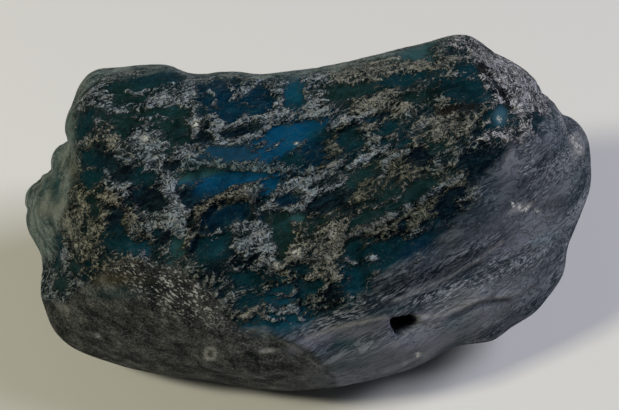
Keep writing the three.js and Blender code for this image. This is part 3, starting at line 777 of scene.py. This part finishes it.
def skin_relief():
    """Geometry nodes that move the skin in and out, with heights in mm."""
    tree = bpy.data.node_groups.new("skin_relief", "GeometryNodeTree")
    tree.interface.new_socket("Geometry", in_out="INPUT", socket_type="NodeSocketGeometry")
    for name in ("Window depth", "Curl rise", "Pebble rise", "Score depth", "Fold depth"):
        tree.interface.new_socket(name, in_out="INPUT", socket_type="NodeSocketFloat")
    tree.interface.new_socket("Skin", in_out="INPUT", socket_type="NodeSocketMaterial")
    tree.interface.new_socket("Geometry", in_out="OUTPUT", socket_type="NodeSocketGeometry")
    graph = Graph(tree)
    given = {socket.name: Value(graph, socket) for socket in tree.nodes.new("NodeGroupInput").outputs}

    place = graph.read("place", "FLOAT_VECTOR")
    streak = graph.read("streak", "FLOAT_VECTOR")
    bare, waxy, hill, rind = skin_shares(graph)
    crust = 1 - graph.rise(bare, *CRUST_EDGE)
    curls = graph.ridges(streak, size=1.5, distortion=1.5, width=0.12)
    grain = graph.noise(place, size=0.8, roughness=0.6) - 0.5
    eaten = (crust - 1) * given["Window depth"] + crust * given["Curl rise"] * (curls + grain - 0.4)
    pebbled = given["Pebble rise"] * (0.6 - graph.cells(place, size=0.8))
    scored = given["Score depth"] * (graph.noise(streak, size=1.8, distortion=0.4) - 0.5)
    folds = graph.noise(graph.stretched(place, FOLD_STRETCH), size=1.8, distortion=0.6)
    folded = given["Fold depth"] * (folds - 0.5)
    height = eaten * (1 - waxy) * (1 - hill) * (1 - rind)
    height = height + hill * pebbled + waxy * scored + rind * folded
    height = height * graph.read("calm") + graph.read("lips")

    reach = height * graph.read("free") * MM
    normal = graph.node("GeometryNodeInputNormal")
    offset = graph.node("ShaderNodeVectorMath", {"operation": "SCALE"}, {0: normal, "Scale": reach})
    moved = graph.node("GeometryNodeSetPosition", None,
                       {"Geometry": given["Geometry"], "Offset": offset})
    real = graph.node("GeometryNodeRealizeInstances", None, {"Geometry": moved})
    dressed = graph.node("GeometryNodeSetMaterial", None,
                         {"Geometry": real, "Material": given["Skin"]})
    graph.feed(tree.nodes.new("NodeGroupOutput"), {0: dressed})
    return tree


# ------------------------------------------------------------------ the stone's finish
# The windows are clean dark blue apatite with a low polish, and painted shade darkens them
# where they meet the crust. The crust over them is pale and crumbly, with dark gaps. The rind
# is dull and blue-grey, with painted shade in its folds and painted highlight on their crests;
# the waxy side is lilac-grey with flecked bands, its pale partly a painted reflection of the
# pale floor; and the hill is brown-grey, with white pebbles where it is roughest. The pit is
# painted near black, as its shade.
def shade(red, green, blue):
    """A colour as a screen shows it, for a node's socket."""
    return (*display(red, green, blue), 1.0)


REAR_BLUE = shade(10, 46, 60)  # of the windows at the back
CLOUD_BLUE = shade(36, 92, 108)
HAZE_BLUE = shade(36, 88, 102)
MOTE_BLUE = shade(84, 130, 142)
DEEP_BLUE = shade(3, 15, 20)
BURIED_BLUE = shade(8, 24, 27)  # of the windows under crust
# painted shade: the windows darken where they meet the raised crust, as in its shadow
RIM_PAINTED_SHADE = shade(5, 12, 15)  # of the windows beside crust
VEIL_GREY = shade(78, 98, 104)
CRUST_BUFF = shade(164, 158, 142)
CRUST_GAP = shade(34, 42, 38)
CRUST_HAZE = shade(72, 86, 90)
RIND_DARK = shade(58, 76, 80)
RIND_PALE = shade(98, 106, 104)
# painted shade in the troughs of the rind's folds, and painted highlight on their crests
RIND_FOLD_PAINTED_SHADE = shade(30, 44, 44)
RIND_CREST_HIGHLIGHT = shade(130, 140, 134)
WAX_DARK = shade(32, 45, 55)
# partly painted reflection: the waxy side's pale lilac-grey also stands for the pale floor mirrored
# in it
WAX_PALE_AND_FLOOR_REFLECTION = shade(152, 158, 167)
HILL_DARK = shade(30, 33, 34)
HILL_PALE = shade(160, 162, 158)
# painted shade: the pit is painted near black, as the shadow in it
PIT_PAINTED_SHADE = shade(13, 16, 20)
GLINT_WHITE = shade(236, 236, 228)
SCORE_STRETCH = (0.45, 1.0, 1.0)  # of the places that the waxy side's scores are read at
BUMP_DEPTH = 0.2  # mm
DULLNESS = 0.62  # the roughness of the skin, where nothing sparkles
REFRACTION = 1.63  # of apatite
SHEEN = 0.02  # how much the worn skin reflects


def mix(graph, share, first, second):
    """A colour between two."""
    return graph.node("ShaderNodeMix", {"data_type": "RGBA"}, {0: share, 6: first, 7: second}, out=2)


def between(value):
    """A value held between 0 and 1."""
    return value.math("MINIMUM", value.math("MAXIMUM", value, 0.0), 1.0)


def larger(first, second):
    """The larger of two values."""
    return first.math("MAXIMUM", first, second)


def skin_patterns(graph):
    """The shares and the patterns that several parts of the finish read."""
    its = SimpleNamespace()
    its.place = graph.read("place", "FLOAT_VECTOR")
    its.streak = graph.read("streak", "FLOAT_VECTOR")
    its.bare, its.waxy, its.hill, its.rind = skin_shares(graph)
    its.specks = graph.noise(its.place, size=0.2, roughness=0.6)
    its.grain = graph.noise(its.place, size=0.36, roughness=0.6, distortion=1.0)
    its.cloud = graph.noise(its.place, size=2.2, detail=4.0, roughness=0.6, distortion=0.4)
    its.patchy = graph.noise(its.streak, size=1.3, detail=3.0, roughness=0.6, distortion=0.5)
    its.curls = graph.ridges(its.place, size=0.85, distortion=2.0, width=0.1)
    its.fine_curls = graph.ridges(its.place, size=0.45, distortion=1.5, width=0.14)
    its.fibres = graph.ridges(its.streak, size=1.0, detail=3.0, distortion=1.4, width=0.06)
    its.crisp = graph.rise(graph.noise(its.streak, size=1.4, distortion=0.8), 0.42, 0.6)
    its.thick = graph.rise(-its.bare, -1.0, 1.3)
    its.tone = ((its.specks - 0.5) * 0.9 + (its.grain - 0.5) * 1.1) * (0.4 + its.crisp * 0.7)
    return its


def blue_windows(graph, its):
    """The colour of the windows: clean apatite, what clouds, veils or darkens it, and painted shade
    where they meet the crust.
    """
    tracts = graph.rise(graph.noise(its.place, size=5.0, distortion=0.6), 0.42, 0.62)
    haze = graph.noise(its.streak, size=0.9, detail=3.0, roughness=0.6, distortion=0.8)
    motes = graph.rise(its.specks, 0.68, 0.75)
    veil = graph.rise(its.bare, 1.6, 0.2) * (1 - its.crisp)
    blue = graph.read("window_tint", "FLOAT_COLOR")
    blue = mix(graph, tracts * graph.read("rear"), blue, REAR_BLUE)
    blue = mix(graph, graph.rise(its.cloud, 0.55, 0.85) * 0.35, blue, CLOUD_BLUE)
    blue = mix(graph, graph.rise(its.cloud, 0.54, 0.3) * 0.7, blue, DEEP_BLUE)
    blue = mix(graph, graph.rise(haze, 0.48, 0.75) * 0.1, blue, HAZE_BLUE)
    # painted shade along the crust's edges
    blue = mix(graph, graph.rise(its.bare, 1.0, 0.1) * 0.55, blue, RIM_PAINTED_SHADE)
    blue = mix(graph, veil * 0.2, blue, VEIL_GREY)
    blue = mix(graph, its.fibres * 0.05 + its.curls * 0.02 + motes * 0.5, blue, MOTE_BLUE)
    return mix(graph, its.thick * 0.75, blue, BURIED_BLUE)


def crusted_windows(graph, its, window):
    """The frosted crust over the windows: the colour, how frosted it is, and its relief."""
    clear = graph.rise(its.bare, 0.8, 2.2)
    built_up = its.thick * 0.62 + (its.curls * 0.44 + its.fine_curls * 0.26) * (1 - clear * 0.5)
    spread = (its.specks - 0.5) * 0.3 + (its.patchy - 0.5) * 1.4
    frost = graph.rise(built_up + spread, 0.34, 1.06)
    threads = its.curls * 0.5 + its.fine_curls * its.crisp * 0.25 + its.fibres * 0.5
    crumb = its.tone + threads + (its.patchy - 0.5) * 0.5 + (its.cloud - 0.5) * 1.4
    crumb = between(crumb + its.thick * 0.3 - 0.05)
    warm = graph.rise(graph.noise(its.place, size=0.55, roughness=0.6), 0.42, 0.6)
    pale = mix(graph, warm * 0.4, graph.read("crust_tint", "FLOAT_COLOR"), CRUST_BUFF)
    under = mix(graph, 0.45, window, CRUST_GAP)
    under = mix(graph, (1 - its.crisp) * 0.35, under, CRUST_HAZE)
    colour = mix(graph, frost, window, mix(graph, crumb ** 1.6, under, pale))
    return colour, frost, frost * (0.6 + threads + its.grain)


def old_rind(graph, its):
    """The dull skin of the left end and the top: its colour, with painted shade in the folds and
    painted highlight on their crests, and its relief.
    """
    upright = graph.stretched(its.place, FOLD_STRETCH)
    folds = graph.noise(upright, size=1.2, detail=3.0, roughness=0.6, distortion=0.6)
    crests = graph.rise(folds + its.curls * 0.32 + its.specks * 0.5, 0.8, 1.1)
    colour = mix(graph, graph.rise(its.cloud, 0.35, 0.65), RIND_DARK, RIND_PALE)
    # painted shade in the folds' troughs, then painted highlight on their crests
    colour = mix(graph, graph.rise(folds + its.specks * 0.3, 0.68, 0.5) * 0.7, colour, RIND_FOLD_PAINTED_SHADE)
    colour = mix(graph, crests * 0.6, colour, RIND_CREST_HIGHLIGHT)
    return colour, folds * 1.5


def waxy_side(graph, its):
    """The cleaved side, scored along the grain and rough in bands: its colour and its relief."""
    lines = graph.stretched(its.streak, SCORE_STRETCH)
    broad = graph.noise(lines, size=2.4, detail=3.0, roughness=0.6, distortion=0.5)
    grit = graph.noise(its.streak, size=0.24, detail=3.0, roughness=0.7, distortion=0.4)
    fleck = graph.noise(lines, size=0.2, detail=1.0)
    rough = between(graph.rise(its.patchy, 0.48, 0.7) * 0.6 + graph.read("flecked"))
    pale_lines = graph.ridges(lines, size=0.7, detail=3.0, distortion=1.2, width=0.06) * rough
    dark_lines = graph.ridges(lines, size=0.9, detail=3.0, distortion=1.2, width=0.06)
    dark_lines = dark_lines * (1 - rough * 0.6)
    flecks = graph.rise(fleck, 0.54, 0.62) - graph.rise(fleck, 0.47, 0.39) * 0.7
    tone = (broad - 0.5) * 1.5 + (grit - 0.5) * (0.6 + rough * 2.0)
    tone = tone + flecks * rough * 1.1 + (its.curls - 0.3) * rough * 0.3
    tone = between(tone + pale_lines * 0.35 - dark_lines * 0.3 + 0.46)
    # its pale lilac-grey is partly a painted reflection of the floor
    colour = mix(graph, tone ** 1.5, WAX_DARK, WAX_PALE_AND_FLOOR_REFLECTION)
    return colour, grit * (0.6 + rough * 1.6) + pale_lines * 0.5 - dark_lines * 0.5


def pebbled_hill(graph, its):
    """The swell at lower left: its colour and its relief."""
    slope = graph.read("slope", "FLOAT_VECTOR")
    gravelly = graph.read("gravelly")
    clumps = graph.noise(slope, size=0.9, roughness=0.6)
    pebbles = graph.noise(slope, size=0.21, detail=1.0) + (clumps - 0.5) * 0.4
    pebbles = graph.rise(pebbles, 0.5, 0.62)
    tone = 0.2 + (its.specks - 0.5) * 0.7 + (clumps - 0.5) * 0.6 + (its.cloud - 0.5) * 0.6
    tone = between(tone + pebbles * (0.12 + gravelly * 0.6) - gravelly * 0.05)
    colour = mix(graph, tone ** 1.5, HILL_DARK, HILL_PALE)
    return colour, its.specks * 0.7 + pebbles * (0.2 + gravelly * 2.0)


def worn_apatite():
    """The finish of the whole stone."""
    material = bpy.data.materials.new("worn_apatite")
    material.use_nodes = True
    graph = Graph(material.node_tree)
    its = skin_patterns(graph)
    crust, frost, crust_relief = crusted_windows(graph, its, blue_windows(graph, its))
    rind, rind_relief = old_rind(graph, its)
    wax, wax_relief = waxy_side(graph, its)
    hill, hill_relief = pebbled_hill(graph, its)

    covered = larger(larger(its.waxy, its.hill), its.rind)
    stain = graph.read("stained") * covered * between(0.5 + its.tone * 0.5 + its.patchy * 0.4)
    glint = graph.read("glint") * graph.rise(its.grain + its.fine_curls * 0.1, 0.46, 0.6)
    colour = mix(graph, its.waxy, mix(graph, its.rind, crust, rind), wax)
    colour = mix(graph, its.hill, colour, hill)
    colour = mix(graph, stain, colour, graph.read("stain_tint", "FLOAT_COLOR"))
    # painted shade in the pit
    colour = mix(graph, graph.read("pit"), colour, PIT_PAINTED_SHADE)
    colour = mix(graph, glint, colour, GLINT_WHITE)

    sparkle = graph.rise(graph.noise(its.place, size=0.3, detail=1.0), 0.68, 0.74)
    relief = (1 - covered) * crust_relief + its.hill * hill_relief
    relief = relief + its.waxy * wax_relief + its.rind * rind_relief
    bump = graph.node("ShaderNodeBump", None,
                      {"Strength": 1.0, "Distance": BUMP_DEPTH * MM, "Height": relief})
    graph.feed(material.node_tree.nodes["Principled BSDF"], {
        "Base Color": colour,
        "Roughness": DULLNESS + frost * 0.1 - sparkle * 0.5,
        "Normal": bump,
        "IOR": REFRACTION,
        "Specular IOR Level": SHEEN,
    })
    return material


skin = stone.modifiers.new("skin", "NODES")
skin.node_group = skin_relief()
sizes = {"Window depth": WINDOW_DEPTH, "Curl rise": CURL_RISE, "Pebble rise": PEBBLE_RISE,
         "Score depth": SCORE_DEPTH, "Fold depth": FOLD_DEPTH, "Skin": worn_apatite()}
for socket in skin.node_group.interface.items_tree:
    if socket.in_out == "INPUT" and socket.name in sizes:
        skin[socket.identifier] = sizes[socket.name]
settle(stone)
stone.data.shade_smooth()

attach(stone, "root")
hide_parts("apatite_stone")


# ------------------------------------------------------------------ the floor
# A plain pale studio floor of smooth matt board, wide enough to fill the view.
FLOOR_HALF = 1.0
FLOOR_DROP = 0.02 * MM  # keeps the board just clear of the stone's flat
BOARD_COLOUR = (0.74, 0.735, 0.72, 1)
BOARD_ROUGHNESS = 0.7

board = bpy.data.materials.new("pale_board")
board.use_nodes = True
Graph(board.node_tree).feed(board.node_tree.nodes["Principled BSDF"],
                            {"Base Color": BOARD_COLOUR, "Roughness": BOARD_ROUGHNESS})
floor_mesh = bpy.data.meshes.new("studio_floor")
corners = [(x * FLOOR_HALF, y * FLOOR_HALF, -FLOOR_DROP)
           for x, y in ((-1, -1), (1, -1), (1, 1), (-1, 1))]
floor_mesh.from_pydata(corners, [], [(0, 1, 2, 3)])
floor_mesh.materials.append(board)
floor = bpy.data.objects.new("studio_floor", floor_mesh)
bpy.context.scene.collection.objects.link(floor)


# ------------------------------------------------------------------ the light
# A small warm lamp on the left and in front, a wide cool one on the right and a little
# behind, and a dim room around them.
WARM_DAYLIGHT = (1.0, 0.955, 0.73)
COOL_DAYLIGHT = (0.88, 0.89, 1.0)
ROOM_COLOUR = (0.9, 0.94, 1.0, 1)
ROOM_STRENGTH = 0.04


def soft_light(name, direction, distance, width, watts, colour):
    """A square lamp that looks at the stone from a direction."""
    lamp = bpy.data.lights.new(name, "AREA")
    lamp.shape = "SQUARE"
    lamp.size = width
    lamp.energy = watts
    lamp.color = colour
    thing = bpy.data.objects.new(name, lamp)
    away = Vector(direction).normalized()
    thing.location = away * distance
    thing.rotation_euler = away.to_track_quat("Z", "Y").to_euler()
    bpy.context.scene.collection.objects.link(thing)


soft_light("left_window", direction=(-0.64, -0.25, 0.73), distance=0.45, width=0.07,
           watts=1.08, colour=WARM_DAYLIGHT)
soft_light("right_window", direction=(0.70, 0.17, 0.69), distance=0.9, width=0.4,
           watts=6.1, colour=COOL_DAYLIGHT)
room = bpy.data.worlds.new("dim_room")
room.use_nodes = True
Graph(room.node_tree).feed(room.node_tree.nodes["Background"],
                           {"Color": ROOM_COLOUR, "Strength": ROOM_STRENGTH})
bpy.context.scene.world = room
bpy.context.scene.view_settings.view_transform = "Standard"


# ------------------------------------------------------------------ the camera
# It looks square at the broad face, from a hand's breadth away.
SENSOR = 36.0  # mm across
VIEW_ANGLE = math.radians(26.25)  # across the frame
VIEW_DISTANCE = 140.0  # from the stone's middle plane, in mm
VIEW_CENTRE = (0.37, 0.84)  # across and up the broad face, in mm

lens = bpy.data.cameras.new("camera")
lens.sensor_width = SENSOR
lens.lens = SENSOR / 2 / math.tan(VIEW_ANGLE / 2)
lens.clip_start = MM
camera = bpy.data.objects.new("camera", lens)
to_world = Matrix.Rotation(FACE_SLOPE, 3, "X")
camera.location = (CENTRE + to_world @ Vector((*VIEW_CENTRE, VIEW_DISTANCE))) * MM
camera.rotation_euler = Euler((FACE_SLOPE, 0, 0))
bpy.context.scene.collection.objects.link(camera)
bpy.context.scene.camera = camera
